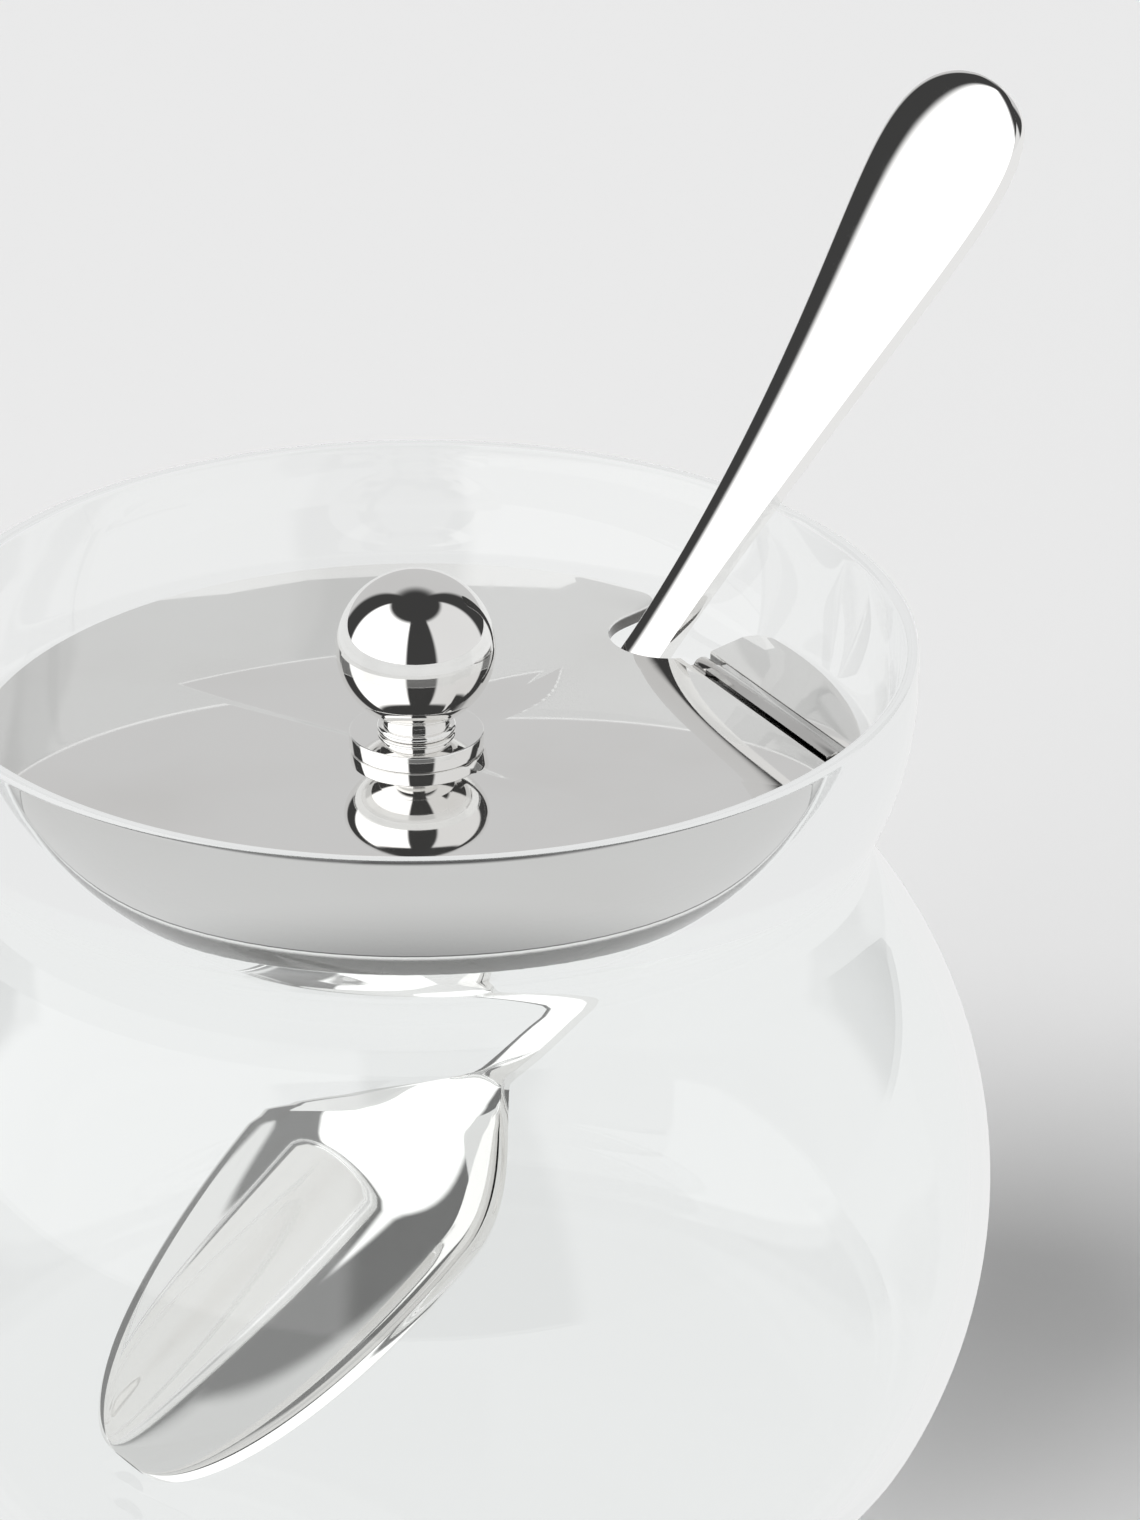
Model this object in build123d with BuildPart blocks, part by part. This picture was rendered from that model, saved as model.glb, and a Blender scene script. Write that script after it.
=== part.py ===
from build123d import *
import os
from math import acos, atan2, cos, degrees, hypot, pi, radians, sin, sqrt

# A jam pot: a blown glass pot, a flat mirror-plated lid in two leaves with a hinge between them, a ball
# knob on the large leaf, and a spoon that stands in a slot across the hinge.
# Millimetres. The origin is the centre of the pot's underside, +Z is up, and the spoon's slot opens
# towards +X +Y.

# Glass pot
POT_HEIGHT = 87.5
FOOT_RADIUS = 20.0        # flat disc ground on the underside
FOOT_RISE = 0.8           # how far the underside climbs from the ground disc to the belly
BASE_CORNER = 14.0        # rounding from the underside into the belly
BELLY_RADIUS = 55.4
BELLY_LEVEL = 30.0        # height of the widest circle
BELLY_SWEEP = 49.6        # radius of the belly's curve in section
BELLY_WALL = 2.0
WAIST_SWEEP = 9.0         # radius of the waist's curve in section, outside
WAIST_SWEEP_INSIDE = 11.5
COLLAR_SWEEP = 30.8       # radius of the flared collar's curve in section
COLLAR_UPRIGHT = 3.5      # below the rim, where the collar's outside stands upright
LIP_RADIUS = 46.9
LIP_WALL = 1.3
FLOOR_THICKNESS = 4.0
FLOOR_CORNER = 12.0

# Lid
LID_RADIUS = 42.0
LID_DEPTH = 11.5          # from the rim down to the lid's top face
LID_THICKNESS = 1.4
SEAT_CLEARANCE = 0.15     # between the lid's lower edge and the glass
SLOT_AZIMUTH = 45.0
SLOT_WIDTH = 11.6
SLOT_INNER_END = 29.1     # from the lid's centre to the slot's round end
SLOT_MOUTH_RADIUS = 2.3
HEEL_EASE = 0.8           # how far the large leaf is cut back where it dips behind the hinge

# Hinge between the two leaves, along a chord of the lid
HINGE_AZIMUTH = 28.2
HINGE_DISTANCE = 33.5     # from the lid's centre to the pin
PIN_DEPTH = 1.0           # pin centre below the lid's top face
KNUCKLE_RADIUS = 1.19
FLAP_GAP = 0.7            # open line between the large leaf and the knuckles
SEAM_WIDTH = 0.16         # thin line between the knuckles and the small leaf
SEAM_DEPTH = 0.45
FLAP_KNUCKLE_RADIUS = 0.98
FLAP_KNUCKLE_LENGTH = 2.6
KNUCKLE_GAP = 0.12        # along the pin, between neighbouring knuckles
HINGE_RIM_END = 23.7      # along the pin, from the foot of the chord's normal towards the rim
HINGE_SLOT_END = 3.8      # along the pin, from the same foot towards the slot
PIN_RADIUS = 0.5
PIN_CLEARANCE = 0.03
WEB_THICKNESS = 0.75      # strap that joins a flap knuckle to its leaf

# Knob
BALL_RADIUS = 7.5
BALL_LEVEL = 10.05        # ball centre above the lid
KNOB_BASE_RADIUS = 6.35
KNOB_BASE_THICKNESS = 1.65
KNOB_EDGE = 0.15
NECK_RADIUS = 3.25
NECK_FOOT_RADIUS = 3.75
SCREW_RADIUS = 1.25
SCREW_LENGTH = 9.0        # from the lid's underside into the ball
SCREW_HEAD_RADIUS = 2.7
SCREW_HEAD_HEIGHT = 1.3
SCREW_CLEARANCE = 0.03
DRIVER_SLOT_WIDTH = 0.7
DRIVER_SLOT_DEPTH = 0.6

# Spoon: distances run along the handle's line, from where it crosses the lid's top face.
SPOON_RADIAL = 32.6       # from the lid's centre to the crossing
SPOON_AZIMUTH = 45.6
SPOON_LEAN_AZIMUTH = 35.7
SPOON_ELEVATION = 46.0
SPOON_TWIST = 5.2
HANDLE_REACH = 63.7
HANDLE_BOW = 5.5          # how far its end curves forward of its line
HANDLE_FLARE = 11.4       # half width that its taper would reach at the end
HANDLE_TAPER = 1.7
HANDLE_ROUNDING = 10      # power of the law that rounds its end off
STEM_HALF_WIDTH = 2.4
HANDLE_EDGE = 1.45        # thickness of the handle at its edges
HANDLE_CROWN = 1.1        # rise of its front face at the widest place
STEM_CROWN = 0.2
HANDLE_BELLY = 0.25       # bulge of its back
STEM_BELLY = 0.3
NECK_BEND = -3.0          # where the handle's line starts to bend
BOWL_SET_BACK = 12.4      # how far behind the handle's line the bowl starts
TIP_LEVEL = 1.38          # the tip's rim above the glass floor, which leaves 0.3 under the bowl's wall
BOWL_LENGTH = 55.3
BOWL_HALF_WIDTH = 16.7
BOWL_WIDEST = 0.35        # share of the bowl's length, from the neck
BOWL_SHOULDER = 1.1       # power of the law that widens the neck into the bowl
BOWL_PITCH = 7.6
BOWL_CURL = 1.5           # lift of the tip out of the bowl's straight line
BOWL_DEPTH = 7.4
BOWL_WALL = 1.1
BOWL_RIM = 1.1            # width of the flat along the bowl's edge
BOWL_LIP = 0.25           # drop of that flat towards the outside
BOWL_BLEND = 11.0         # half the length over which the stem turns into the bowl
FULLNESS = 0.68           # how square the spoon's section curves are

LID_TOP = POT_HEIGHT - LID_DEPTH
LID_UNDERSIDE = LID_TOP - LID_THICKNESS
PIN_LEVEL = LID_TOP - PIN_DEPTH

os.makedirs("parts", exist_ok=True)


def on_circle(centre, radius, angle):
    return (centre[0] + radius * cos(radians(angle)), centre[1] + radius * sin(radians(angle)))


def arc_between(centre, radius, start, end):
    """An arc between two points of one circle."""
    angles = [degrees(atan2(point[1] - centre[1], point[0] - centre[0])) for point in (start, end)]
    return ThreePointArc(start, on_circle(centre, radius, sum(angles) / 2), end)


def crossing(first, first_radius, second, second_radius):
    """The outer of the two points where two circles cross."""
    run, rise = second[0] - first[0], second[1] - first[1]
    apart = hypot(run, rise)
    along = (first_radius ** 2 - second_radius ** 2 + apart ** 2) / (2 * apart)
    aside = sqrt(first_radius ** 2 - along ** 2)
    foot = (first[0] + along * run / apart, first[1] + along * rise / apart)
    return max((foot[0] + side * aside * rise / apart, foot[1] - side * aside * run / apart) for side in (1, -1))


def corner_at(sketch, point):
    return sketch.vertices().sort_by_distance((point[0], point[1], 0))[0]


# Glass pot: its section is drawn in the XZ plane and turned about Z.
belly_centre = (BELLY_RADIUS - BELLY_SWEEP, BELLY_LEVEL)
belly_sweep_inside = BELLY_SWEEP - BELLY_WALL
collar_centre = (LIP_RADIUS - COLLAR_SWEEP, POT_HEIGHT - COLLAR_UPRIGHT)
collar_top = (LIP_RADIUS, POT_HEIGHT - COLLAR_UPRIGHT)
lip_level = POT_HEIGHT - LIP_WALL / 2
lip_outside = (LIP_RADIUS, lip_level)
lip_inside = (LIP_RADIUS - LIP_WALL, lip_level)

# The collar's inner curve has the outer one's radius, and passes through the lip and the lid's seat.
seat = (LID_RADIUS + SEAT_CLEARANCE, LID_UNDERSIDE)
seat_run, seat_rise = lip_inside[0] - seat[0], lip_inside[1] - seat[1]
seat_chord = hypot(seat_run, seat_rise)
seat_inset = sqrt(COLLAR_SWEEP ** 2 - (seat_chord / 2) ** 2)
collar_centre_inside = (
    (lip_inside[0] + seat[0]) / 2 - seat_inset * seat_rise / seat_chord,
    (lip_inside[1] + seat[1]) / 2 + seat_inset * seat_run / seat_chord,
)
waist = crossing(collar_centre, COLLAR_SWEEP, belly_centre, BELLY_SWEEP)
waist_inside = crossing(collar_centre_inside, COLLAR_SWEEP, belly_centre, belly_sweep_inside)
base_edge = (belly_centre[0] + sqrt(BELLY_SWEEP ** 2 - (BELLY_LEVEL - FOOT_RISE) ** 2), FOOT_RISE)
floor_edge = (
    belly_centre[0] + sqrt(belly_sweep_inside ** 2 - (BELLY_LEVEL - FLOOR_THICKNESS) ** 2),
    FLOOR_THICKNESS,
)

with BuildPart() as glass_pot:
    with BuildSketch(Plane.XZ) as pot_section:
        with BuildLine():
            Line((0, 0), (FOOT_RADIUS, 0))
            Line((FOOT_RADIUS, 0), base_edge)
            arc_between(belly_centre, BELLY_SWEEP, base_edge, waist)
            arc_between(collar_centre, COLLAR_SWEEP, waist, collar_top)
            Line(collar_top, lip_outside)
            ThreePointArc(lip_outside, (LIP_RADIUS - LIP_WALL / 2, POT_HEIGHT), lip_inside)
            arc_between(collar_centre_inside, COLLAR_SWEEP, lip_inside, waist_inside)
            arc_between(belly_centre, belly_sweep_inside, waist_inside, floor_edge)
            Line(floor_edge, (0, FLOOR_THICKNESS))
            Line((0, FLOOR_THICKNESS), (0, 0))
        make_face()
        fillet(corner_at(pot_section, waist), WAIST_SWEEP)
        fillet(corner_at(pot_section, waist_inside), WAIST_SWEEP_INSIDE)
        fillet(corner_at(pot_section, base_edge), BASE_CORNER)
        fillet(corner_at(pot_section, floor_edge), FLOOR_CORNER)
    revolve(axis=Axis.Z)

# Lid plates: both leaves are cut from one disc. The large leaf carries the knob, and past the slot it
# reaches behind the hinge with a short heel. The small leaf is the half-moon beyond the hinge.
lid_plane = Plane.XY.offset(LID_UNDERSIDE)
hinge_frame = Location((0, 0, 0), (0, 0, HINGE_AZIMUTH))
slot_end_radius = SLOT_WIDTH / 2
slot_lean = radians(SLOT_AZIMUTH - HINGE_AZIMUTH)
flap_edge = HINGE_DISTANCE - KNUCKLE_RADIUS - FLAP_GAP
segment_edge = HINGE_DISTANCE + KNUCKLE_RADIUS + SEAM_WIDTH
slot_crossing = HINGE_DISTANCE * sin(slot_lean) / cos(slot_lean)
mouth_half_angle = degrees(atan2(slot_end_radius, LID_RADIUS))


def beyond(distance):
    """The part of the lid's plane beyond a chord, on the slot's hinged side."""
    with Locations(hinge_frame):
        with Locations((distance, slot_crossing)):
            return Rectangle(LID_RADIUS, 3 * LID_RADIUS, align=(Align.MIN, Align.MAX), mode=Mode.PRIVATE)


def cut_slot():
    """The spoon's slot: a round inner end, and straight walls out past the rim."""
    with Locations(Location((0, 0, 0), (0, 0, SLOT_AZIMUTH))):
        with Locations((SLOT_INNER_END + slot_end_radius, 0)):
            Circle(slot_end_radius, mode=Mode.SUBTRACT)
            Rectangle(LID_RADIUS, SLOT_WIDTH, align=(Align.MIN, Align.CENTER), mode=Mode.SUBTRACT)


def slot_mouth(sketch, azimuth):
    return corner_at(sketch, on_circle((0, 0), LID_RADIUS, azimuth))


heel_start = on_circle((0, 0), LID_RADIUS, HINGE_AZIMUTH + degrees(acos(HINGE_DISTANCE / LID_RADIUS)))
heel_mouth = on_circle((0, 0), LID_RADIUS - HEEL_EASE, SLOT_AZIMUTH + mouth_half_angle)
heel_end = (2 * heel_mouth[0] - heel_start[0], 2 * heel_mouth[1] - heel_start[1])

with BuildPart() as lid_flap:
    with BuildSketch(lid_plane) as flap_outline:
        Circle(LID_RADIUS)
        add(beyond(flap_edge), mode=Mode.SUBTRACT)
        with BuildLine():
            Polyline(heel_start, heel_end, (2 * heel_end[0], 2 * heel_end[1]), (2 * heel_start[0], 2 * heel_start[1]),
                     close=True)
        make_face(mode=Mode.SUBTRACT)
        cut_slot()
        fillet(slot_mouth(flap_outline, SLOT_AZIMUTH + mouth_half_angle), SLOT_MOUTH_RADIUS)
    extrude(amount=LID_THICKNESS)
    with BuildSketch(lid_plane):
        Circle(SCREW_RADIUS + SCREW_CLEARANCE)
    extrude(amount=LID_THICKNESS, mode=Mode.SUBTRACT)

with BuildPart() as lid_segment:
    with BuildSketch(lid_plane) as segment_outline:
        Circle(LID_RADIUS)
        add(beyond(segment_edge), mode=Mode.INTERSECT)
        cut_slot()
        fillet(slot_mouth(segment_outline, SLOT_AZIMUTH - mouth_half_angle), SLOT_MOUTH_RADIUS)
    extrude(amount=LID_THICKNESS)

# Hinge: one long knuckle soldered to the small leaf, a short round knuckle of the large leaf at each end
# of it, and a pin through all three. A hinge plane stands across the pin, its x away from the lid's
# centre, its y up, and its normal along the pin towards the rim.
hinge_azimuth = radians(HINGE_AZIMUTH)
hinge_out = (cos(hinge_azimuth), sin(hinge_azimuth), 0)
hinge_rimward = (sin(hinge_azimuth), -cos(hinge_azimuth), 0)
hinge_foot = (HINGE_DISTANCE * hinge_out[0], HINGE_DISTANCE * hinge_out[1], PIN_LEVEL)
hinge_plane = Plane(origin=hinge_foot, x_dir=hinge_out, z_dir=hinge_rimward)
hinge_length = HINGE_RIM_END + HINGE_SLOT_END
segment_knuckle_length = hinge_length - 2 * (FLAP_KNUCKLE_LENGTH + KNUCKLE_GAP)

with BuildPart() as segment_knuckle:
    with BuildSketch(hinge_plane.offset(FLAP_KNUCKLE_LENGTH + KNUCKLE_GAP - HINGE_SLOT_END)):
        Circle(KNUCKLE_RADIUS)
        Rectangle(2 * KNUCKLE_RADIUS, PIN_DEPTH, align=(Align.CENTER, Align.MIN))
        with Locations((KNUCKLE_RADIUS, PIN_DEPTH - SEAM_DEPTH)):
            Rectangle(SEAM_WIDTH, LID_THICKNESS - SEAM_DEPTH, align=(Align.MIN, Align.MAX))
        Circle(PIN_RADIUS + PIN_CLEARANCE, mode=Mode.SUBTRACT)
    extrude(amount=segment_knuckle_length)

with BuildPart() as flap_knuckles:
    for start in (-HINGE_SLOT_END, HINGE_RIM_END - FLAP_KNUCKLE_LENGTH):
        with BuildSketch(hinge_plane.offset(start)):
            Circle(FLAP_KNUCKLE_RADIUS)
            with Locations((0, PIN_DEPTH - LID_THICKNESS)):
                Rectangle(KNUCKLE_RADIUS + FLAP_GAP, WEB_THICKNESS, align=(Align.MAX, Align.MIN))
            Circle(PIN_RADIUS + PIN_CLEARANCE, mode=Mode.SUBTRACT)
        extrude(amount=FLAP_KNUCKLE_LENGTH)

with BuildPart() as hinge_pin:
    with BuildSketch(hinge_plane.offset(-HINGE_SLOT_END)):
        Circle(PIN_RADIUS)
    extrude(amount=hinge_length)
    chamfer(hinge_pin.faces().filter_by(GeomType.PLANE).edges(), PIN_RADIUS / 4)

# Knob: a thin disc on the lid, a short turned neck, and a ball, held by one screw from below.
knob_base_top = LID_TOP + KNOB_BASE_THICKNESS
ball_centre = LID_TOP + BALL_LEVEL
neck_top = ball_centre - sqrt(BALL_RADIUS ** 2 - NECK_RADIUS ** 2)
screw_top = LID_UNDERSIDE + SCREW_LENGTH
screw_bore = SCREW_RADIUS + SCREW_CLEARANCE

with BuildPart() as knob_base:
    with BuildSketch(Plane.XY.offset(LID_TOP)):
        Circle(KNOB_BASE_RADIUS)
        Circle(screw_bore, mode=Mode.SUBTRACT)
    extrude(amount=KNOB_BASE_THICKNESS)
    rims = knob_base.edges().filter_by(GeomType.CIRCLE).filter_by(lambda edge: edge.radius > screw_bore * 2)
    chamfer(rims, KNOB_EDGE)

with BuildPart() as knob_neck:
    with BuildSketch(Plane.XZ):
        with BuildLine():
            Line((screw_bore, knob_base_top), (NECK_FOOT_RADIUS, knob_base_top))
            neck_foot = ThreePointArc(
                (NECK_FOOT_RADIUS, knob_base_top),
                ((NECK_FOOT_RADIUS + NECK_RADIUS) / 2 + KNOB_EDGE / 2, knob_base_top + (neck_top - knob_base_top) / 3),
                (NECK_RADIUS, (knob_base_top + neck_top) / 2),
            )
            Line(neck_foot @ 1, (NECK_RADIUS, neck_top))
            Line((NECK_RADIUS, neck_top), (screw_bore, neck_top))
            Line((screw_bore, neck_top), (screw_bore, knob_base_top))
        make_face()
    revolve(axis=Axis.Z)

with BuildPart() as knob_ball:
    with BuildSketch(Plane.XZ):
        with BuildLine():
            ball_arc = ThreePointArc(
                (NECK_RADIUS, neck_top), (BALL_RADIUS, ball_centre), (0, ball_centre + BALL_RADIUS)
            )
            Line(ball_arc @ 1, (0, neck_top))
            Line((0, neck_top), (NECK_RADIUS, neck_top))
        make_face()
    revolve(axis=Axis.Z)
    with BuildSketch(Plane.XY.offset(neck_top)):
        Circle(screw_bore)
    extrude(amount=screw_top + SCREW_CLEARANCE - neck_top, mode=Mode.SUBTRACT)

with BuildPart() as knob_screw:
    with BuildSketch(Plane.XZ):
        with BuildLine():
            Line((0, LID_UNDERSIDE - SCREW_HEAD_HEIGHT), (0, screw_top))
            Line((0, screw_top), (SCREW_RADIUS, screw_top))
            Line((SCREW_RADIUS, screw_top), (SCREW_RADIUS, LID_UNDERSIDE))
            Line((SCREW_RADIUS, LID_UNDERSIDE), (SCREW_HEAD_RADIUS, LID_UNDERSIDE))
            RadiusArc(
                (SCREW_HEAD_RADIUS, LID_UNDERSIDE),
                (0, LID_UNDERSIDE - SCREW_HEAD_HEIGHT),
                (SCREW_HEAD_RADIUS ** 2 + SCREW_HEAD_HEIGHT ** 2) / (2 * SCREW_HEAD_HEIGHT),
            )
        make_face()
    revolve(axis=Axis.Z)
    with BuildSketch(Plane.XY.offset(LID_UNDERSIDE - SCREW_HEAD_HEIGHT)):
        Rectangle(3 * SCREW_HEAD_RADIUS, DRIVER_SLOT_WIDTH)
    extrude(amount=DRIVER_SLOT_DEPTH, mode=Mode.SUBTRACT)

# Spoon: one forging, lofted through sections that stand across its rim line. Each section has a front
# curve, which crowns on the handle and hollows in the bowl, a back curve, and two edges.
spoon_foot = (*on_circle((0, 0), SPOON_RADIAL, SPOON_AZIMUTH), LID_TOP)
lean, climb, twist = radians(SPOON_LEAN_AZIMUTH), radians(SPOON_ELEVATION), radians(SPOON_TWIST)
handle_line = Vector(cos(lean) * cos(climb), sin(lean) * cos(climb), sin(climb))
face_up = Vector(-cos(lean) * sin(climb), -sin(lean) * sin(climb), cos(climb))
across = handle_line.cross(face_up)
spoon_face = face_up * cos(twist) + across * sin(twist)
spoon_right = across * cos(twist) - face_up * sin(twist)
bowl_pitch = radians(BOWL_PITCH)

# The stem is as long as the tip needs to stand on the glass floor.
tip_run = BOWL_LENGTH * cos(bowl_pitch) - BOWL_CURL * sin(bowl_pitch)
tip_ahead = BOWL_LENGTH * sin(bowl_pitch) + BOWL_CURL * cos(bowl_pitch) - BOWL_SET_BACK
tip_climb = FLOOR_THICKNESS + TIP_LEVEL - LID_TOP - tip_ahead * spoon_face.Z
bowl_start = tip_climb / handle_line.Z + tip_run
neck_run = NECK_BEND - bowl_start


def smooth(share):
    """Eases from 0 to 1 with level ends."""
    share = min(max(share, 0), 1)
    return share * share * (3 - 2 * share)


def rim_line(place):
    """Where the rim line stands in the spoon's side view: along the handle's line, and in front of it."""
    if place >= NECK_BEND:
        return place, HANDLE_BOW * (max(place, 0) / HANDLE_REACH) ** 2
    if place >= bowl_start:
        share = (NECK_BEND - place) / neck_run
        rise = neck_run * sin(bowl_pitch) / cos(bowl_pitch)
        return place, share ** 2 * (-3 * BOWL_SET_BACK - rise) + share ** 3 * (2 * BOWL_SET_BACK + rise)
    run = bowl_start - place
    curl = BOWL_CURL * (run / BOWL_LENGTH) ** 2
    return (bowl_start - run * cos(bowl_pitch) + curl * sin(bowl_pitch),
            -BOWL_SET_BACK + run * sin(bowl_pitch) + curl * cos(bowl_pitch))


def bowl_fullness(place):
    """0 at the bowl's two ends and 1 where it is widest."""
    share = (bowl_start - place) / BOWL_LENGTH
    if share <= 0:
        return 0.0
    if share < BOWL_WIDEST:
        return sin(pi / 2 * share / BOWL_WIDEST) ** BOWL_SHOULDER
    return sqrt(max(1 - ((share - BOWL_WIDEST) / (1 - BOWL_WIDEST)) ** 2, 0))


def half_width(place):
    if place > 0:
        share = place / HANDLE_REACH
        flare = STEM_HALF_WIDTH + (HANDLE_FLARE - STEM_HALF_WIDTH) * share ** HANDLE_TAPER
        return flare * sqrt(1 - share ** HANDLE_ROUNDING)
    fullness = bowl_fullness(place)
    return STEM_HALF_WIDTH * (1 - fullness) + BOWL_HALF_WIDTH * fullness


def spoon_section(place):
    """Draws the spoon's section at one place: front, right edge, back and left edge."""
    half = half_width(place)
    slim = min(half / STEM_HALF_WIDTH, 1)
    broad = (max(half, STEM_HALF_WIDTH) - STEM_HALF_WIDTH) / (HANDLE_FLARE - STEM_HALF_WIDTH) if place > 0 else 0
    hollow = BOWL_DEPTH * bowl_fullness(place) ** 1.6
    bowlness = smooth((bowl_start + BOWL_BLEND - place) / (2 * BOWL_BLEND))
    crown = (STEM_CROWN + (HANDLE_CROWN - STEM_CROWN) * broad) * slim
    belly = (STEM_BELLY + (HANDLE_BELLY - STEM_BELLY) * broad) * slim
    front_width = half - bowlness * min(BOWL_RIM, 0.4 * half)
    front_rise = (1 - bowlness) * crown - hollow
    edge_drop = (1 - bowlness) * HANDLE_EDGE + bowlness * BOWL_LIP
    back_drop = (1 - bowlness) * (HANDLE_EDGE + belly) + bowlness * BOWL_WALL + hollow
    front_pull = front_rise * 4 / 3
    back_pull = -edge_drop - (back_drop - edge_drop) * 4 / 3
    Bezier((-front_width, 0), (-FULLNESS * front_width, front_pull), (FULLNESS * front_width, front_pull),
           (front_width, 0))
    Line((front_width, 0), (half, -edge_drop))
    Bezier((half, -edge_drop), (FULLNESS * half, back_pull), (-FULLNESS * half, back_pull), (-half, -edge_drop))
    Line((-half, -edge_drop), (-front_width, 0))


handle_shares = (0.9992, 0.993, 0.976, 0.945, 0.9, 0.83, 0.72, 0.58, 0.43, 0.27, 0.1)
handle_places = [HANDLE_REACH * share for share in handle_shares]
neck_places = [NECK_BEND - neck_run * share for share in (0.1, 0.345, 0.59, 0.81)]
bowl_shares = (0.017, 0.104, 0.19, 0.294, 0.415, 0.536, 0.657, 0.761, 0.848, 0.917, 0.965, 0.991, 0.999)
bowl_places = [bowl_start - BOWL_LENGTH * share for share in bowl_shares]

with BuildPart() as spoon:
    for place in handle_places + neck_places + bowl_places:
        along, ahead = rim_line(place)
        next_along, next_ahead = rim_line(place - 0.01)
        downward = handle_line * (next_along - along) + spoon_face * (next_ahead - ahead)
        centre = Vector(*spoon_foot) + handle_line * along + spoon_face * ahead
        with BuildSketch(Plane(origin=centre, x_dir=spoon_right, z_dir=downward)):
            with BuildLine():
                spoon_section(place)
            make_face()
    loft()

nodes = {
    "glass_pot": glass_pot,
    "lid_segment": lid_segment,
    "segment_knuckle": segment_knuckle,
    "hinge_pin": hinge_pin,
    "lid_flap": lid_flap,
    "flap_knuckles": flap_knuckles,
    "knob_base": knob_base,
    "knob_neck": knob_neck,
    "knob_ball": knob_ball,
    "knob_screw": knob_screw,
    "spoon": spoon,
}
for name, piece in nodes.items():
    piece.part.label = name
    export_step(piece.part, f"parts/{name}.step")
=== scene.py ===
from math import atan2, cos, hypot, pi, radians, sin, sqrt

import bmesh
import bpy
from mathutils import Matrix, Vector


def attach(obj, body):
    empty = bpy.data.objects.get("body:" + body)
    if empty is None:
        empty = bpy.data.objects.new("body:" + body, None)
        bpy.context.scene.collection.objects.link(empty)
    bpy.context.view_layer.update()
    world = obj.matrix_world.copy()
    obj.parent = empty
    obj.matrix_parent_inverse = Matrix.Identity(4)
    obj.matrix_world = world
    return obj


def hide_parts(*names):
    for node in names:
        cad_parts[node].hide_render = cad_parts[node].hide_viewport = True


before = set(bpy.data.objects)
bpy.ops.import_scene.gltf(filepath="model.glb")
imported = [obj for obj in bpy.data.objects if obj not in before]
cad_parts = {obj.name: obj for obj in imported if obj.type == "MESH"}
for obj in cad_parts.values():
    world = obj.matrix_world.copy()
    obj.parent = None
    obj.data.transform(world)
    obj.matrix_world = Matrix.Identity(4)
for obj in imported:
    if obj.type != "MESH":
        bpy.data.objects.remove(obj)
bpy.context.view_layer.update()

# Camera
# A long lens that looks down on the lid from the front. It stands where it was fitted to the rim, the
# lid, the knob and the pot's outline in the photograph.
PHOTO_HEIGHT = 1520
FOCAL_PIXELS = 5975.94
CAMERA_PLACE = (0.0, -0.506318, 0.319949)
CAMERA_RIGHT = Vector((0.999638, -0.02662, 0.003891))
CAMERA_UP = Vector((0.008118, 0.436374, 0.899729))

camera_data = bpy.data.cameras.new("camera")
camera_data.sensor_fit = "VERTICAL"
camera_data.sensor_height = 24
camera_data.lens = FOCAL_PIXELS / PHOTO_HEIGHT * camera_data.sensor_height
camera_data.sensor_width = camera_data.sensor_height
camera_data.clip_start, camera_data.clip_end = 0.01, 20
camera = bpy.data.objects.new("camera", camera_data)
camera_back = CAMERA_RIGHT.cross(CAMERA_UP)
camera.matrix_world = Matrix.Translation(CAMERA_PLACE) @ Matrix(
    [list(row) for row in zip(CAMERA_RIGHT, CAMERA_UP, camera_back)]
).to_4x4()
bpy.context.scene.collection.objects.link(camera)
bpy.context.scene.camera = camera
bpy.context.scene.view_settings.view_transform = "Standard"


# Glass pot
# Clear blown glass, worked with a waist and a flared collar, its rim fire-polished round. It is turned
# from one profile, so that light bends smoothly through it.
class Wire:
    """A shader socket, with arithmetic that adds Math nodes."""

    def __init__(self, tree, socket):
        self.tree, self.socket = tree, socket

    def _math(self, operation, *values, clamp=False):
        return add_node(self.tree, "ShaderNodeMath", {"operation": operation, "use_clamp": clamp}, *values)

    def __add__(self, other):
        return self._math("ADD", self, other)

    def __sub__(self, other):
        return self._math("SUBTRACT", self, other)

    def __rsub__(self, other):
        return self._math("SUBTRACT", other, self)

    def __mul__(self, other):
        return self._math("MULTIPLY", self, other)

    __radd__, __rmul__ = __add__, __mul__

    def clamp(self):
        return self._math("ADD", self, 0, clamp=True)

    def angle_to(self, other):
        return self._math("ARCTAN2", self, other)

    def ramp(self, low, high):
        """Rises smoothly from 0 at low to 1 at high."""
        settings = {"interpolation_type": "SMOOTHSTEP"}
        return add_node(self.tree, "ShaderNodeMapRange", settings, Value=self, From_Min=low, From_Max=high)


def add_node(tree, kind, settings=None, *values, output=0, **named):
    """Adds a node: its settings first, then its sockets by place or by name."""
    node = tree.nodes.new(kind)
    for name, value in (settings or {}).items():
        setattr(node, name, value)
    sockets = list(zip([s for s in node.inputs if s.enabled], values))
    sockets += [(node.inputs[name.replace("_", " ")], value) for name, value in named.items()]
    for socket, value in sockets:
        if isinstance(value, Wire):
            tree.links.new(value.socket, socket)
        else:
            socket.default_value = value
    return Wire(tree, node.outputs[output])


def new_material(name):
    """A material with a bare Principled shader."""
    material = bpy.data.materials.new(name)
    material.use_nodes = True
    tree = material.node_tree
    return material, tree, tree.nodes["Principled BSDF"]


def object_place(tree, scale=(1, 1, 1)):
    """Object coordinates, in metres, stretched by scale."""
    place = Wire(tree, tree.nodes.new("ShaderNodeTexCoord").outputs["Object"])
    return add_node(tree, "ShaderNodeMapping", None, Vector=place, Scale=scale)


def cloudiness(tree, scale, detail, stretch=(1, 1, 1)):
    """Soft random clouds, about as many to the metre as scale says."""
    place = object_place(tree, stretch)
    return add_node(tree, "ShaderNodeTexNoise", None, Vector=place, Scale=scale, Detail=detail)


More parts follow.
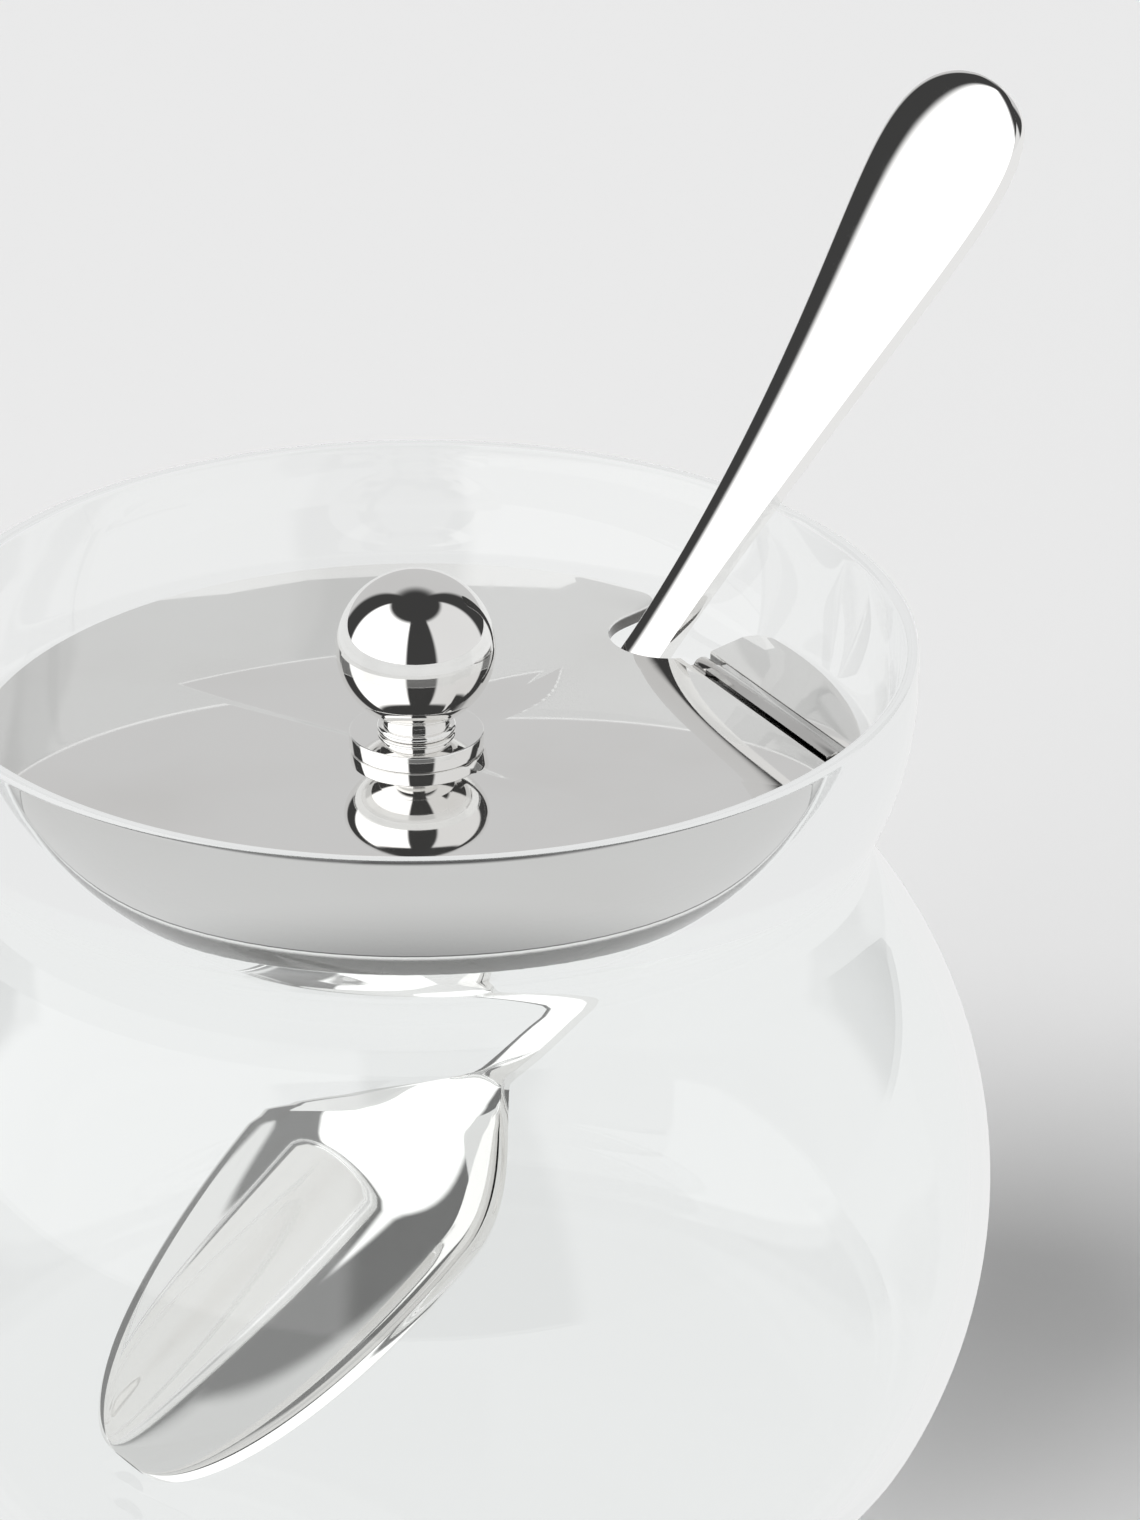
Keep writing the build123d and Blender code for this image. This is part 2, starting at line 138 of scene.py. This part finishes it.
def bump(tree, height, distance, strength):
    return add_node(tree, "ShaderNodeBump", None, Height=height, Distance=distance, Strength=strength)


def piece_from(bm, name, material, body, node, sharp=30):
    """Finishes a bmesh as the piece that stands for a CAD node, with edges sharp from an angle up."""
    bmesh.ops.remove_doubles(bm, verts=bm.verts, dist=1e-7)
    bmesh.ops.recalc_face_normals(bm, faces=bm.faces)
    mesh = bpy.data.meshes.new(name)
    bm.to_mesh(mesh)
    bm.free()
    mesh.shade_smooth()
    mesh.set_sharp_from_angle(angle=radians(sharp))
    mesh.materials.append(material)
    piece = bpy.data.objects.new(name, mesh)
    bpy.context.scene.collection.objects.link(piece)
    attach(piece, body)
    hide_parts(node)
    return piece


def arc_points(centre, radius, start, end, count):
    """Points of an arc, in metres, from millimetres and degrees."""
    turns = [radians(start + (end - start) * step / count) for step in range(count + 1)]
    return [((centre[0] + radius * cos(a)) / 1000, (centre[1] + radius * sin(a)) / 1000) for a in turns]


def turned(profile, steps):
    """A bmesh spun about the pot's axis from a profile of (radius, height) points, in metres."""
    bm = bmesh.new()
    chain = [bm.verts.new((radius, 0, height)) for radius, height in profile]
    edges = [bm.edges.new(pair) for pair in zip(chain, chain[1:])]
    bmesh.ops.spin(bm, geom=chain + edges, cent=(0, 0, 0), axis=(0, 0, 1), angle=2 * pi, steps=steps,
                   use_merge=True)
    bmesh.ops.remove_doubles(bm, verts=bm.verts, dist=1e-6)
    return bm


GLASS_TINT, GLASS_IOR = (0.985, 0.995, 0.992, 1), 1.5
clear_glass, tree, shader = new_material("clear_glass")
shader.inputs["Base Color"].default_value = GLASS_TINT
shader.inputs["Roughness"].default_value = 0
shader.inputs["IOR"].default_value = GLASS_IOR
shader.inputs["Transmission Weight"].default_value = 1

POT_HEIGHT = 87.5
FOOT_RADIUS = 20.0        # flat disc ground on the underside
FOOT_RISE = 0.8           # how far the underside climbs from the ground disc to the belly
BASE_CORNER = 14.0        # rounding from the underside into the belly
BELLY_RADIUS = 55.4
BELLY_LEVEL = 30.0        # height of the widest circle
BELLY_SWEEP = 49.6        # radius of the belly's curve in section
BELLY_WALL = 2.0
WAIST_SWEEP = 9.0         # radius of the waist's curve in section, outside
WAIST_SWEEP_INSIDE = 11.5
COLLAR_SWEEP = 30.8       # radius of the flared collar's curve in section
COLLAR_UPRIGHT = 3.5      # below the rim, where the collar's outside stands upright
LIP_RADIUS = 46.9
LIP_WALL = 1.3
FLOOR_THICKNESS = 4.0
FLOOR_CORNER = 12.0
LID_RADIUS = 42.0
LID_TOP = 76.0
LID_THICKNESS = 1.4
SEAT_CLEARANCE = 0.15     # between the lid's lower edge and the glass
LID_UNDERSIDE = LID_TOP - LID_THICKNESS
POT_STEPS = 256           # facets round the pot


def bearing(centre, point):
    """The direction from a centre to a point, in degrees."""
    return atan2(point[1] - centre[1], point[0] - centre[0]) * 180 / pi


def outer_crossing(first, first_radius, second, second_radius):
    """Where two circles cross, on the side away from the axis."""
    run, rise = second[0] - first[0], second[1] - first[1]
    apart = hypot(run, rise)
    along = (first_radius ** 2 - second_radius ** 2 + apart ** 2) / (2 * apart)
    aside = sqrt(first_radius ** 2 - along ** 2)
    foot = (first[0] + along * run / apart, first[1] + along * rise / apart)
    step_out, step_down = aside * rise / apart, aside * run / apart
    return max((foot[0] + side * step_out, foot[1] - side * step_down) for side in (1, -1))


def pot_side(belly_sweep, collar_centre, waist_sweep, corner, level, collar_start):
    """Half of the profile: from the collar's top down over the waist and belly to the foot or the floor."""
    waist_centre = outer_crossing(
        collar_centre, COLLAR_SWEEP + waist_sweep, belly_centre, belly_sweep + waist_sweep)
    corner_rise = level + corner
    corner_run = sqrt((belly_sweep - corner) ** 2 - (corner_rise - BELLY_LEVEL) ** 2)
    corner_centre = (belly_centre[0] + corner_run, corner_rise)
    to_waist, from_waist = bearing(collar_centre, waist_centre), bearing(belly_centre, waist_centre)
    to_corner = bearing(belly_centre, corner_centre)
    return (
        arc_points(collar_centre, COLLAR_SWEEP, bearing(collar_centre, collar_start), to_waist, 22)
        + arc_points(waist_centre, waist_sweep, to_waist + 180, from_waist + 180, 10)[1:]
        + arc_points(belly_centre, belly_sweep, from_waist, to_corner, 36)[1:]
        + arc_points(corner_centre, corner, to_corner, -90, 12)[1:]
    )


belly_centre = (BELLY_RADIUS - BELLY_SWEEP, BELLY_LEVEL)
lip_level = POT_HEIGHT - LIP_WALL / 2
lip_centre = (LIP_RADIUS - LIP_WALL / 2, lip_level)
lip_inside = (LIP_RADIUS - LIP_WALL, lip_level)
seat = (LID_RADIUS + SEAT_CLEARANCE, LID_UNDERSIDE)
seat_run, seat_rise = lip_inside[0] - seat[0], lip_inside[1] - seat[1]
seat_chord = hypot(seat_run, seat_rise)
seat_inset = sqrt(COLLAR_SWEEP ** 2 - (seat_chord / 2) ** 2)
collar_centre_inside = (
    (lip_inside[0] + seat[0]) / 2 - seat_inset * seat_rise / seat_chord,
    (lip_inside[1] + seat[1]) / 2 + seat_inset * seat_run / seat_chord,
)
collar_top = (LIP_RADIUS, POT_HEIGHT - COLLAR_UPRIGHT)
collar_centre = (LIP_RADIUS - COLLAR_SWEEP, POT_HEIGHT - COLLAR_UPRIGHT)
outside = pot_side(BELLY_SWEEP, collar_centre, WAIST_SWEEP, BASE_CORNER, FOOT_RISE, collar_top)
inside = pot_side(BELLY_SWEEP - BELLY_WALL, collar_centre_inside, WAIST_SWEEP_INSIDE, FLOOR_CORNER,
                  FLOOR_THICKNESS, lip_inside)
lip = arc_points(lip_centre, LIP_WALL / 2, 0, 180, 10)
foot, middle = [(0, 0), (FOOT_RADIUS / 1000, 0)], [(0, FLOOR_THICKNESS / 1000)]
profile = foot + outside[::-1] + lip + inside[1:] + middle
pot = piece_from(turned(profile, POT_STEPS), "pot", clear_glass, "pot", "glass_pot", sharp=60)
pot.visible_shadow = False

RIPPLES = 26              # the gather's soft unevenness: its scale, depth in metres, and strength
RIPPLE_DEPTH, RIPPLE_STRENGTH = 0.0004, 0.12
ripple = bump(tree, cloudiness(tree, RIPPLES, 1.0), RIPPLE_DEPTH, RIPPLE_STRENGTH)
tree.links.new(ripple.socket, shader.inputs["Normal"])

# Light that runs on inside the glass wall is taken as lost after this many mirrorings, or this many turns
# of any kind, and from there the glass glows a flat pale colour: painted light standing in for what such
# rays would bring, though the glass is no lamp.
LOST_MIRRORINGS, LOST_TURNS = (2.4, 3.6), (7.2, 8.8)
PAINTED_GLASS_LIGHT = (0.81, 0.815, 0.815, 1)
rays = tree.nodes.new("ShaderNodeLightPath")
mirrorings, turns = Wire(tree, rays.outputs["Glossy Depth"]), Wire(tree, rays.outputs["Ray Depth"])
lost = mirrorings.ramp(*LOST_MIRRORINGS) + turns.ramp(*LOST_TURNS)
# Painted light: an emission in the glass in place of the lost rays' light.
painted_glow = add_node(tree, "ShaderNodeEmission", None, PAINTED_GLASS_LIGHT, 1.0)
glass = add_node(tree, "ShaderNodeMixShader", None, lost.clamp(), Wire(tree, shader.outputs[0]), painted_glow)
tree.links.new(glass.socket, tree.nodes["Material Output"].inputs["Surface"])


# Lid, large leaf
# A flat disc of rolled metal, silver-plated and buffed to a mirror, with the slot for the spoon sawn in
# from its rim. Its edges are only just broken.
SILVER, SILVER_TARNISH = (0.93, 0.925, 0.915), (0.88, 0.87, 0.855)
SILVER_SMEAR, SILVER_WAVE = 0.035, 0.05
# Painted shade: the plates' side faces within the lid's thickness are coloured nearly black, standing in
# for the dark reflections they show.
PAINTED_EDGE_SHADE = (0.16, 0.157, 0.152)
EDGE_SHADE_FROM = (LID_UNDERSIDE + 0.04, LID_UNDERSIDE + 0.1)
EDGE_SHADE_TO = (LID_TOP - 0.35, LID_TOP - 0.08)
TARNISH_CLOUDS, BUFFING_LINES, PLATE_WAVES = 38, 420, 55
TARNISH_SPREAD, BUFFING_SPREAD = (0.42, 0.75), (0.35, 0.8)
BUFFING_STRETCH = (1, 0.12, 1)
LEAST_SMEAR = 0.6         # share of the smear that is there between the lines
PLATE_WAVE_DEPTH = 0.0001
LID_EDGE_BREAK = 0.12
EDGE_ANGLE = 40           # degrees between two faces, from which their edge is broken


def blended(tree, share, first, second):
    """A colour between two others."""
    mix = tree.nodes.new("ShaderNodeMix")
    mix.data_type = "RGBA"
    tree.links.new(share.socket, mix.inputs[0])
    for socket, colour in ((mix.inputs[6], first), (mix.inputs[7], second)):
        if isinstance(colour, Wire):
            tree.links.new(colour.socket, socket)
        else:
            socket.default_value = (*colour, 1)
    return Wire(tree, mix.outputs[2])


def silver(name, colour, tarnish, smear, wave, edge_shade=None):
    """Polished plate: faintly uneven in colour, gloss and flatness, and, given an edge colour, painted dark
    on its side faces within the lid's thickness, a painted shade in place of the dark reflections there.
    """
    material, tree, shader = new_material(name)
    tint = blended(tree, cloudiness(tree, TARNISH_CLOUDS, 3.0).ramp(*TARNISH_SPREAD), colour, tarnish)
    # Painted shade on the side faces, between these two heights.
    if edge_shade:
        level = add_node(tree, "ShaderNodeSeparateXYZ", None, object_place(tree), output="Z") * 1000
        edge = level.ramp(*EDGE_SHADE_FROM) * (1 - level.ramp(*EDGE_SHADE_TO))
        tint = blended(tree, edge, tint, edge_shade)
    tree.links.new(tint.socket, shader.inputs["Base Color"])
    shader.inputs["Metallic"].default_value = 1
    lines = cloudiness(tree, BUFFING_LINES, 2.0, BUFFING_STRETCH)
    roughness = lines.ramp(*BUFFING_SPREAD) * smear + smear * LEAST_SMEAR
    tree.links.new(roughness.socket, shader.inputs["Roughness"])
    waves = bump(tree, cloudiness(tree, PLATE_WAVES, 1.0), PLATE_WAVE_DEPTH, wave)
    tree.links.new(waves.socket, shader.inputs["Normal"])
    return material


plated_silver = silver("plated_silver", SILVER, SILVER_TARNISH, SILVER_SMEAR, SILVER_WAVE)
# The lid's leaves, with painted shade on their side faces.
silver_with_painted_edges = silver("silver_with_painted_edges", SILVER, SILVER_TARNISH, SILVER_SMEAR, SILVER_WAVE, PAINTED_EDGE_SHADE)


def broken_edges(node, width):
    """A copy of a CAD node with its triangles joined, and its sharp edges rounded to a width in mm."""
    bm = bmesh.new()
    bm.from_mesh(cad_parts[node].data)
    bmesh.ops.remove_doubles(bm, verts=bm.verts, dist=1e-6)
    bmesh.ops.dissolve_limit(bm, angle_limit=radians(0.5), verts=bm.verts, edges=bm.edges)
    sharp = [e for e in bm.edges if len(e.link_faces) == 2 and e.calc_face_angle(0) > radians(EDGE_ANGLE)]
    bmesh.ops.bevel(bm, geom=sharp, offset=width / 1000, affect="EDGES", segments=2, profile=0.5,
                    material=-1, clamp_overlap=True)
    return bm


piece_from(broken_edges("lid_flap", LID_EDGE_BREAK), "lid_leaf", silver_with_painted_edges, "flap",
           "lid_flap")

# Lid, small leaf
# The half-moon beyond the hinge, cut from the same disc and plated with it. It lies in the collar, and
# the hinge's long knuckle is soldered to it.
piece_from(broken_edges("lid_segment", LID_EDGE_BREAK), "lid_half_moon", silver_with_painted_edges,
           "lid", "lid_segment")

# Hinge
# A long flat-topped knuckle soldered along the half-moon, a short round one of the large leaf at each
# end of it, and a drawn pin through all three.
HINGE_METAL, HINGE_TARNISH, HINGE_SMEAR, HINGE_WAVE = (0.80, 0.79, 0.775), (0.62, 0.605, 0.585), 0.09, 0.12
STRIP_METAL, STRIP_TARNISH, STRIP_SMEAR, STRIP_WAVE = (0.66, 0.655, 0.645), (0.58, 0.57, 0.56), 0.08, 0.03
# Painted shade: the hinge strip's side faces are coloured nearly black, standing in for the dark groove and
# the dark reflections along it.
STRIP_PAINTED_EDGE_SHADE = (0.05, 0.049, 0.047)
STRIP_BREAK, KNUCKLE_BREAK = 0.06, 0.05
hinge_metal = silver("hinge_metal", HINGE_METAL, HINGE_TARNISH, HINGE_SMEAR, HINGE_WAVE)
# The hinge strip's metal, with painted shade on its side faces.
hinge_with_painted_edges = silver("hinge_with_painted_edges", STRIP_METAL, STRIP_TARNISH, STRIP_SMEAR, STRIP_WAVE, STRIP_PAINTED_EDGE_SHADE)
piece_from(broken_edges("segment_knuckle", STRIP_BREAK), "hinge_strip", hinge_with_painted_edges, "lid",
           "segment_knuckle")
piece_from(broken_edges("flap_knuckles", KNUCKLE_BREAK), "hinge_ends", hinge_metal, "flap",
           "flap_knuckles")
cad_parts["hinge_pin"].data.materials.clear()
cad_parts["hinge_pin"].data.materials.append(hinge_metal)

# Knob
# A turned disc, a short neck with a bead at its foot, and a ball, all silver-plated. One screw from under
# the lid draws them together.
BALL_RADIUS = 7.5
BALL_LEVEL = 10.05        # ball centre above the lid
KNOB_BASE_RADIUS = 6.35
KNOB_BASE_THICKNESS = 1.65
KNOB_EDGE = 0.15          # rounding of the disc's edges
NECK_RADIUS = 3.25
NECK_FOOT_RADIUS = 3.75
DISC_STEPS, NECK_STEPS, BALL_STEPS = 128, 96, 192
SCREW_BREAK = 0.08
ball_level = LID_TOP + BALL_LEVEL
neck_top = ball_level - sqrt(BALL_RADIUS ** 2 - NECK_RADIUS ** 2)
base_top = LID_TOP + KNOB_BASE_THICKNESS


def millimetres(*points):
    """Points of a profile, in metres, from millimetres."""
    return [(radius / 1000, height / 1000) for radius, height in points]


disc = millimetres((0, LID_TOP), (KNOB_BASE_RADIUS - KNOB_EDGE, LID_TOP))
disc += arc_points((KNOB_BASE_RADIUS - KNOB_EDGE, LID_TOP + KNOB_EDGE), KNOB_EDGE, -90, 0, 4)[1:]
disc += arc_points((KNOB_BASE_RADIUS - KNOB_EDGE, base_top - KNOB_EDGE), KNOB_EDGE, 0, 90, 4)
disc += millimetres((0, base_top))
piece_from(turned(disc, DISC_STEPS), "knob_disc", plated_silver, "flap", "knob_base")

bead = (neck_top - base_top) / 4
neck = millimetres((0, base_top), (NECK_FOOT_RADIUS - bead, base_top))
neck += arc_points((NECK_FOOT_RADIUS - bead, base_top + bead), bead, -90, 90, 10)[1:]
neck += millimetres((NECK_RADIUS, base_top + 2 * bead), (NECK_RADIUS, neck_top), (0, neck_top))
piece_from(turned(neck, NECK_STEPS), "knob_stem", plated_silver, "flap", "knob_neck")

flat_angle = bearing((0, ball_level), (NECK_RADIUS, neck_top))
ball = millimetres((0, neck_top)) + arc_points((0, ball_level), BALL_RADIUS, flat_angle, 90, 96)
piece_from(turned(ball, BALL_STEPS), "knob_sphere", plated_silver, "flap", "knob_ball")
piece_from(broken_edges("knob_screw", SCREW_BREAK), "knob_fixing", hinge_metal, "flap",
           "knob_screw")

# Spoon
# One forging: a flat handle that bows gently forward and widens to a blunt end, a thin stem, and an
# egg-shaped bowl set back behind it. Places run along the handle's line, from the lid's top face.
SPOON_RADIAL = 32.6       # from the lid's centre to where the line crosses the lid's top face
SPOON_AZIMUTH = 45.6
SPOON_LEAN_AZIMUTH = 35.7
SPOON_ELEVATION = 46.0
SPOON_TWIST = 5.2
HANDLE_REACH = 63.7
HANDLE_BOW = 5.5          # how far its end curves forward of its line
HANDLE_FLARE = 11.4       # half width that its taper would reach at the end
HANDLE_TAPER = 1.7
HANDLE_ROUNDING = 10      # power of the law that rounds its end off
STEM_HALF_WIDTH = 2.4
HANDLE_EDGE = 1.45        # thickness of the handle at its edges
HANDLE_CROWN = 1.1        # rise of its front face at the widest place
END_CROWN = 0.9           # further rise there, which dies away quickly down the handle
STEM_CROWN = 0.2
HANDLE_BELLY = 0.25       # bulge of its back
STEM_BELLY = 0.3
NECK_BEND = -3.0          # where the handle's line starts to bend
BOWL_SET_BACK = 12.4      # how far behind the handle's line the bowl starts
TIP_LEVEL = 1.38          # the tip's rim above the glass floor
BOWL_LENGTH = 55.3
BOWL_HALF_WIDTH = 16.7
BOWL_WIDEST = 0.35        # share of the bowl's length, from the neck
BOWL_SHOULDER = 1.1       # power of the law that widens the neck into the bowl
BOWL_PITCH = 7.6
BOWL_CURL = 1.5           # lift of the tip out of the bowl's straight line
BOWL_DEPTH = 7.4
HOLLOW_POWER = 1.6        # of the law that makes the hollow shallower towards the bowl's ends
BOWL_WALL = 1.1
BOWL_RIM = 1.1            # width of the flat along the bowl's edge
BOWL_RIM_SHARE = 0.4      # of the half width, which the flat stays under
BOWL_LIP = 0.25           # drop of that flat towards the outside
BOWL_BLEND = 11.0         # half the length over which the stem turns into the bowl
FULLNESS = 0.68           # how square the section's curves are
ACROSS, ALONG = 32, 240   # steps over one face of the spoon, and along it
SPOON_BREAK = 0.14
RIM_ANGLE = 38            # degrees between two faces, from which their edge is broken
lean, climb, twist = radians(SPOON_LEAN_AZIMUTH), radians(SPOON_ELEVATION), radians(SPOON_TWIST)
handle_line = Vector((cos(lean) * cos(climb), sin(lean) * cos(climb), sin(climb)))
face_up = Vector((-cos(lean) * sin(climb), -sin(lean) * sin(climb), cos(climb)))
across = handle_line.cross(face_up)
spoon_face = face_up * cos(twist) + across * sin(twist)
spoon_right = across * cos(twist) - face_up * sin(twist)
slot_azimuth = radians(SPOON_AZIMUTH)
spoon_foot = Vector((SPOON_RADIAL * cos(slot_azimuth), SPOON_RADIAL * sin(slot_azimuth), LID_TOP))
bowl_pitch = radians(BOWL_PITCH)
tip_run = BOWL_LENGTH * cos(bowl_pitch) - BOWL_CURL * sin(bowl_pitch)
tip_ahead = BOWL_LENGTH * sin(bowl_pitch) + BOWL_CURL * cos(bowl_pitch) - BOWL_SET_BACK
tip_climb = FLOOR_THICKNESS + TIP_LEVEL - LID_TOP - tip_ahead * spoon_face.z
bowl_start = tip_climb / handle_line.z + tip_run
neck_run = NECK_BEND - bowl_start


def smooth(share):
    share = min(max(share, 0), 1)
    return share * share * (3 - 2 * share)


def rim_line(place):
    """Where the middle of a section lies, along the handle's line and ahead of it."""
    if place >= NECK_BEND:
        return place, HANDLE_BOW * (max(place, 0) / HANDLE_REACH) ** 2
    if place >= bowl_start:
        share = (NECK_BEND - place) / neck_run
        rise = neck_run * sin(bowl_pitch) / cos(bowl_pitch)
        return place, share ** 2 * (-3 * BOWL_SET_BACK - rise) + share ** 3 * (2 * BOWL_SET_BACK + rise)
    run = bowl_start - place
    curl = BOWL_CURL * (run / BOWL_LENGTH) ** 2
    return (bowl_start - run * cos(bowl_pitch) + curl * sin(bowl_pitch),
            -BOWL_SET_BACK + run * sin(bowl_pitch) + curl * cos(bowl_pitch))


def bowl_fullness(place):
    """The share of its greatest width that the bowl has at a place."""
    share = (bowl_start - place) / BOWL_LENGTH
    if share <= 0:
        return 0.0
    if share < BOWL_WIDEST:
        return sin(pi / 2 * share / BOWL_WIDEST) ** BOWL_SHOULDER
    return sqrt(max(1 - ((share - BOWL_WIDEST) / (1 - BOWL_WIDEST)) ** 2, 0))


def half_width(place):
    if place > 0:
        share = min(place / HANDLE_REACH, 1)
        flare = STEM_HALF_WIDTH + (HANDLE_FLARE - STEM_HALF_WIDTH) * share ** HANDLE_TAPER
        return flare * sqrt(max(1 - share ** HANDLE_ROUNDING, 0))
    fullness = bowl_fullness(place)
    return STEM_HALF_WIDTH * (1 - fullness) + BOWL_HALF_WIDTH * fullness


def curve_point(half, start, pull, share):
    """A point of the even cubic from (-half, start) to (half, start) with its handles at height pull."""
    rest = 1 - share
    ends, handles = rest ** 3 + share ** 3, 3 * rest * share
    run = half * (share ** 3 - rest ** 3) + FULLNESS * half * handles * (share - rest)
    return run, start * ends + pull * handles


def section_point(place, back, share):
    """A point of the section at one place, on the front or the back, by its share of the way across."""
    half = half_width(place)
    slim = min(half / STEM_HALF_WIDTH, 1)
    spread = max(half - STEM_HALF_WIDTH, 0) if place > 0 else 0
    broad = spread / (HANDLE_FLARE - STEM_HALF_WIDTH)
    hollow = BOWL_DEPTH * bowl_fullness(place) ** HOLLOW_POWER
    bowlness = smooth((bowl_start + BOWL_BLEND - place) / (2 * BOWL_BLEND))
    crown = (STEM_CROWN + (HANDLE_CROWN - STEM_CROWN) * broad) * slim
    crown += END_CROWN * broad ** 4
    belly = (STEM_BELLY + (HANDLE_BELLY - STEM_BELLY) * broad) * slim
    edge_drop = (1 - bowlness) * HANDLE_EDGE + bowlness * BOWL_LIP
    if back:
        back_drop = (1 - bowlness) * (HANDLE_EDGE + belly) + bowlness * BOWL_WALL + hollow
        return curve_point(-half, -edge_drop, -edge_drop - (back_drop - edge_drop) * 4 / 3, share)
    front_width = half - bowlness * min(BOWL_RIM, BOWL_RIM_SHARE * half)
    return curve_point(front_width, 0, ((1 - bowlness) * crown - hollow) * 4 / 3, share)


# The grid's columns run over the front from the left, then back under it, and its last column closes it.
bm = bmesh.new()
bmesh.ops.create_grid(bm, x_segments=2 * ACROSS + 2, y_segments=ALONG, size=0.5)
for vert in bm.verts:
    column = round((vert.co.x + 0.5) * (2 * ACROSS + 2)) % (2 * ACROSS + 2)
    share_along = round((vert.co.y + 0.5) * ALONG) / ALONG
    place = HANDLE_REACH - (HANDLE_REACH - bowl_start + BOWL_LENGTH) * (1 - cos(pi * share_along)) / 2
    back, step = divmod(column, ACROSS + 1)
    run, rise = section_point(place, back, step / ACROSS)
    along, ahead = rim_line(place)
    next_along, next_ahead = rim_line(place - 0.01)
    downward = (handle_line * (next_along - along) + spoon_face * (next_ahead - ahead)).normalized()
    centre = spoon_foot + handle_line * along + spoon_face * ahead
    vert.co = (centre + spoon_right * run + downward.cross(spoon_right) * rise) / 1000
bmesh.ops.remove_doubles(bm, verts=bm.verts, dist=1e-6)
rims = [e for e in bm.edges if len(e.link_faces) == 2 and e.calc_face_angle(0) > radians(RIM_ANGLE)]
bmesh.ops.bevel(bm, geom=rims, offset=SPOON_BREAK / 1000, affect="EDGES", segments=2, profile=0.5,
                material=-1, clamp_overlap=True)
piece_from(bm, "serving_spoon", plated_silver, "spoon", "spoon", sharp=50)

# Floor
# A pale sweep under the pot. What metal and glass show of it is its plain colour, and what the camera
# sees of it keeps the pot's shadow.
PALE = (0.855, 0.855, 0.855, 1)
FLOOR_HALF_SIZE = 6       # metres
FLOOR_DROP = 0.0002       # metres, so that the pot's ground foot and the floor don't share a plane
bm = bmesh.new()
bmesh.ops.create_grid(bm, x_segments=1, y_segments=1, size=FLOOR_HALF_SIZE)
mesh = bpy.data.meshes.new("floor")
bm.to_mesh(mesh)
bm.free()
floor = bpy.data.objects.new("floor", mesh)
floor.location.z = -FLOOR_DROP
bpy.context.scene.collection.objects.link(floor)
floor_paint, tree, shader = new_material("floor_paint")
mesh.materials.append(floor_paint)
rays = tree.nodes.new("ShaderNodeLightPath")
mirrored = Wire(tree, rays.outputs["Is Glossy Ray"]) + Wire(tree, rays.outputs["Is Transmission Ray"])
matte = add_node(tree, "ShaderNodeBsdfDiffuse", None, PALE)
plain = add_node(tree, "ShaderNodeEmission", None, PALE, 1.0)
mixed = add_node(tree, "ShaderNodeMixShader", None, mirrored.clamp(), matte, plain)
tree.nodes.remove(shader)
tree.links.new(mixed.socket, tree.nodes["Material Output"].inputs["Surface"])

# Studio
# A white panel on the left from the front to behind the pot, a greyer one on the right, a grey wall
# behind, and dark gaps between them and overhead. Angles are degrees from the camera's side, rightwards,
# and heights are the sine of the angle above the horizon.
LEFT_PANEL, LEFT_LIGHT = (-108, -14, 2.5), 1.35
RIGHT_PANEL, RIGHT_LIGHT = (30, 112, 3), 0.75
PANEL_HEIGHTS = (-0.3, 0.86, 0.03)
BACK_WALL, BACK_HEIGHTS, BACK_LIGHT = (42, 4), (0.80, 0.95), 0.56
GAP_LIGHT = 0.05
GLASS_PALENESS = 0.12     # share of the plain backdrop in what is seen through the glass
KEY_ENERGY, KEY_ANGLE, KEY_FROM = 1.75, 36, Vector((-0.8, -0.3, 1.0))
world = bpy.data.worlds.new("studio")
bpy.context.scene.world = world
world.use_nodes = True
tree = world.node_tree
outlook = Wire(tree, tree.nodes.new("ShaderNodeTexCoord").outputs["Generated"])
direction = add_node(tree, "ShaderNodeSeparateXYZ", None, outlook).socket.node
east, north, height = (Wire(tree, direction.outputs[axis]) for axis in "XYZ")
turn = east.angle_to(north * -1) * (180 / pi)


def band(wire, low, high, soft):
    """Is 1 between low and high, with soft ends."""
    return wire.ramp(low - soft, low + soft) * (1 - wire.ramp(high - soft, high + soft))


def behind(turn, half_angle, soft):
    """Is 1 within half an angle of the direction straight behind the pot."""
    return turn.ramp(180 - half_angle - soft, 180 - half_angle + soft) + (
        1 - turn.ramp(-180 + half_angle - soft, -180 + half_angle + soft))


left_panel = band(turn, *LEFT_PANEL) * band(height, *PANEL_HEIGHTS)
right_panel = band(turn, *RIGHT_PANEL) * band(height, *PANEL_HEIGHTS)
back_wall = behind(turn, *BACK_WALL) * (1 - height.ramp(*BACK_HEIGHTS))
light = GAP_LIGHT + left_panel * LEFT_LIGHT + right_panel * RIGHT_LIGHT + back_wall * BACK_LIGHT
studio = add_node(tree, "ShaderNodeBackground", None, Color=light, Strength=1.0)
plain = add_node(tree, "ShaderNodeBackground", None, Color=PALE, Strength=1.0)
rays = tree.nodes.new("ShaderNodeLightPath")
seen = Wire(tree, rays.outputs["Is Camera Ray"])
through_glass = Wire(tree, rays.outputs["Is Transmission Ray"])
paleness = seen + through_glass * GLASS_PALENESS
mixed = add_node(tree, "ShaderNodeMixShader", None, paleness.clamp(), studio, plain)
tree.links.new(mixed.socket, tree.nodes["World Output"].inputs["Surface"])

key_data = bpy.data.lights.new("key", "SUN")
key_data.energy = KEY_ENERGY
key_data.angle = radians(KEY_ANGLE)
key = bpy.data.objects.new("key", key_data)
key.rotation_euler = KEY_FROM.to_track_quat("Z", "Y").to_euler()
key.visible_glossy = False
key.visible_transmission = False
bpy.context.scene.collection.objects.link(key)
